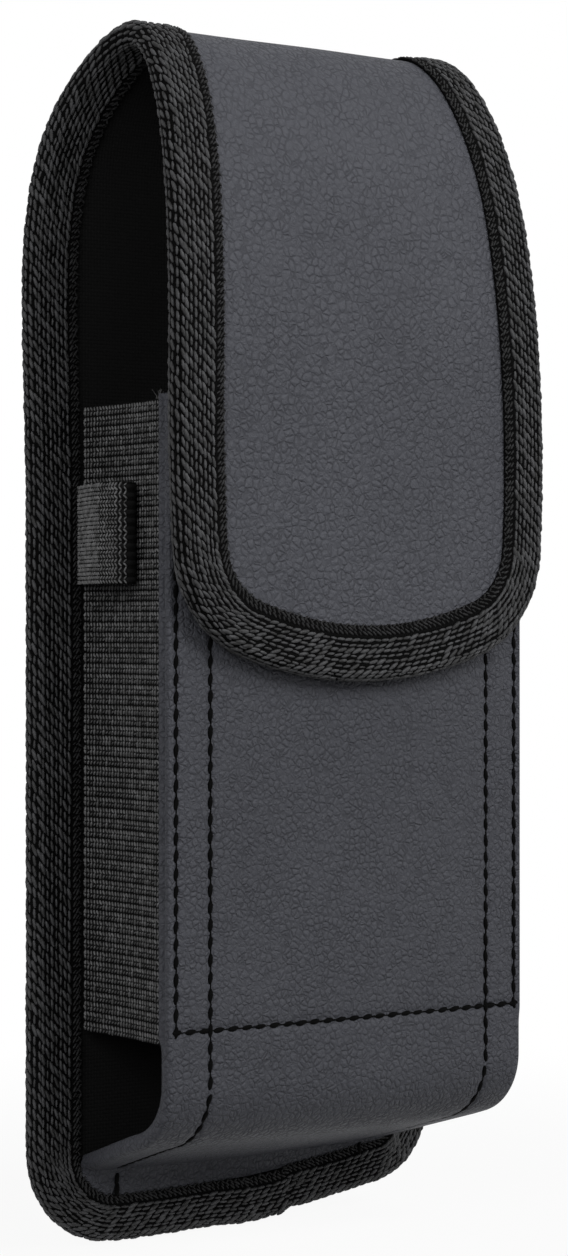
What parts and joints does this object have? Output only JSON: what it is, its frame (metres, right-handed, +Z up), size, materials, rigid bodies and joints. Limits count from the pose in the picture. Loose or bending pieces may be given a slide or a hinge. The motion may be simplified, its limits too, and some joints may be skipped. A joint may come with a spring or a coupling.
{
  "type": "phone belt holster",
  "caption": "Upright belt holster for a phone: bound back panel with a fold-over magnetic flap, a bent front strip, ribbed elastic sides, a pen loop, belt loops and a spring belt clip.",
  "frame": {"origin": "rear face of the back panel, on the centre line, at mid height of the belt loops", "axes": "+X to the right as the front is faced, +Y to the rear, +Z up along the back panel"},
  "size_m": [0.0844, 0.0478, 0.1968],
  "materials": {
    "leather": "dark grey grained",
    "binding": "black twill tape",
    "elastic": "black ribbed elastic",
    "lining": "black woven lining",
    "padding": "matt foam sheet",
    "board": "matt",
    "steel": "plated"
  },
  "bodies": {
    "pouch": {"back_skin": "leather", "back_board": "board", "back_lining": "lining", "back_binding": "binding", "front_skin": "leather", "front_board": "board", "front_lining": "lining", "front_keeper": "steel", "elastic_left": "elastic", "elastic_right": "elastic", "pen_loop": "elastic", "belt_loop_left": "binding", "belt_loop_right": "binding", "clip_patch": "leather", "belt_clip": "steel", "clip_rivets": "steel", "rivet_washers": "steel"},
    "flap": {"flap_skin": "leather", "flap_padding": "padding", "flap_lining": "lining", "flap_binding": "binding", "flap_magnet": "steel"}
  },
  "joints": [
    {"name": "flap_hinge", "type": "hinge", "parent": "pouch", "child": "flap", "pos_m": [0, 0.0005, 0.057], "axis": [-1, 0, 0], "range_deg": [0, 150]}
  ]
}
